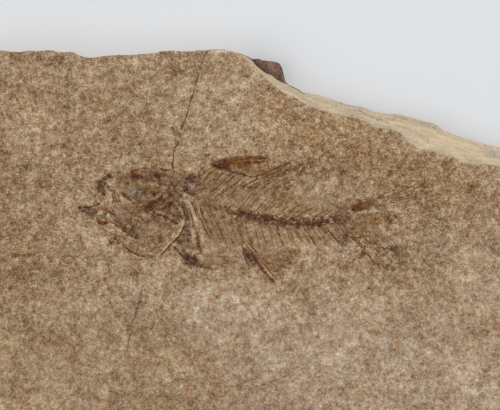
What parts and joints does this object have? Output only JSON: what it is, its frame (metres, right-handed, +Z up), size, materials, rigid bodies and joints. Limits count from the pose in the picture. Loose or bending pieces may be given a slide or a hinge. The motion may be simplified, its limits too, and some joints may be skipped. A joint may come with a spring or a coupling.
{
  "type": "fossil fish on a limestone slab",
  "caption": "Flat broken slab of tan limestone with a small bony fish skeleton in low relief on its upper face, seen from its left side.",
  "frame": {"origin": "middle of the slab's underside", "axes": "+X along the slab towards the fish's tail, +Y across it towards the fish's back fins, +Z up out of the face that carries the fish"},
  "size_m": [0.154, 0.1024, 0.0126],
  "materials": {
    "limestone": "matt",
    "skull_bone": "matt",
    "fin_bone": "satin",
    "backbone_bone": "matt"
  },
  "bodies": {
    "root": {"limestone_slab": "limestone", "snout": "skull_bone", "upper_jaw": "skull_bone", "lower_jaw": "skull_bone", "throat_bones": "skull_bone", "gill_cover": "skull_bone", "skull": "skull_bone", "cheek": "skull_bone", "shoulder_girdle": "skull_bone", "first_dorsal_fin": "fin_bone", "second_dorsal_fin": "fin_bone", "pelvic_fin": "fin_bone", "anal_fin": "fin_bone", "tail_fin": "fin_bone", "backbone": "backbone_bone"}
  },
  "joints": []
}
